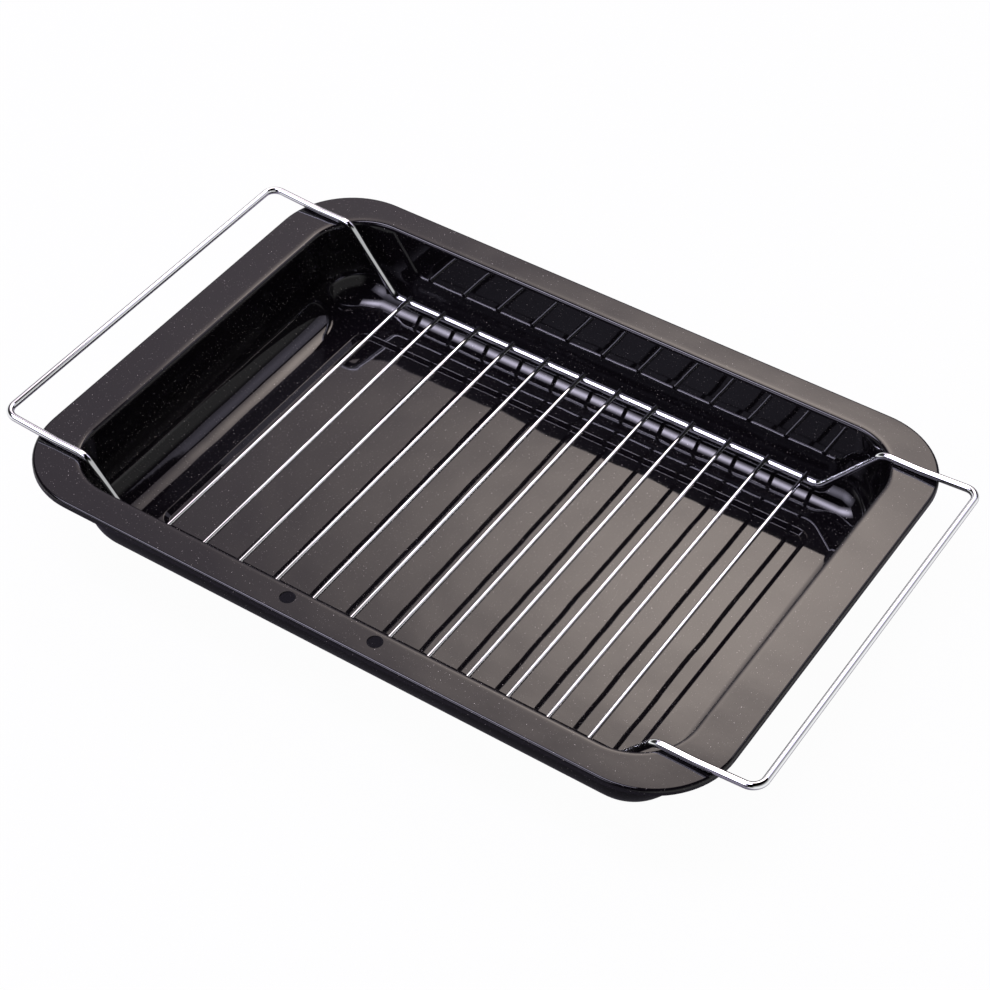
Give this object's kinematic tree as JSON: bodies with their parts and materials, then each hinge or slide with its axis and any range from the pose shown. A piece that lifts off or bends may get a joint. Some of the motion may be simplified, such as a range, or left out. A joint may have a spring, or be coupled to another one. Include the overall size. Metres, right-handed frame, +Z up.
{
  "type": "broiler pan with wire rack",
  "caption": "Rectangular enamelled steel pan with a wide flat rim, and a plated wire rack that hangs low in it from the rim and has a handle at each end.",
  "frame": {"origin": "middle of the face that the pan rests on", "axes": "+X along the pan's length, +Z up out of its mouth, -Y towards the long side whose rim has two holes"},
  "size_m": [0.4426, 0.288, 0.0587],
  "materials": {
    "enamel": "gloss black enamel with fine pale specks",
    "plated_wire": "bright"
  },
  "bodies": {
    "root": {"pan": "enamel", "rack_frame": "plated_wire", "cross_wire_01": "plated_wire", "cross_wire_02": "plated_wire", "cross_wire_03": "plated_wire", "cross_wire_04": "plated_wire", "cross_wire_05": "plated_wire", "cross_wire_06": "plated_wire", "cross_wire_07": "plated_wire", "cross_wire_08": "plated_wire", "cross_wire_09": "plated_wire", "cross_wire_10": "plated_wire", "cross_wire_11": "plated_wire", "cross_wire_12": "plated_wire"}
  },
  "joints": []
}
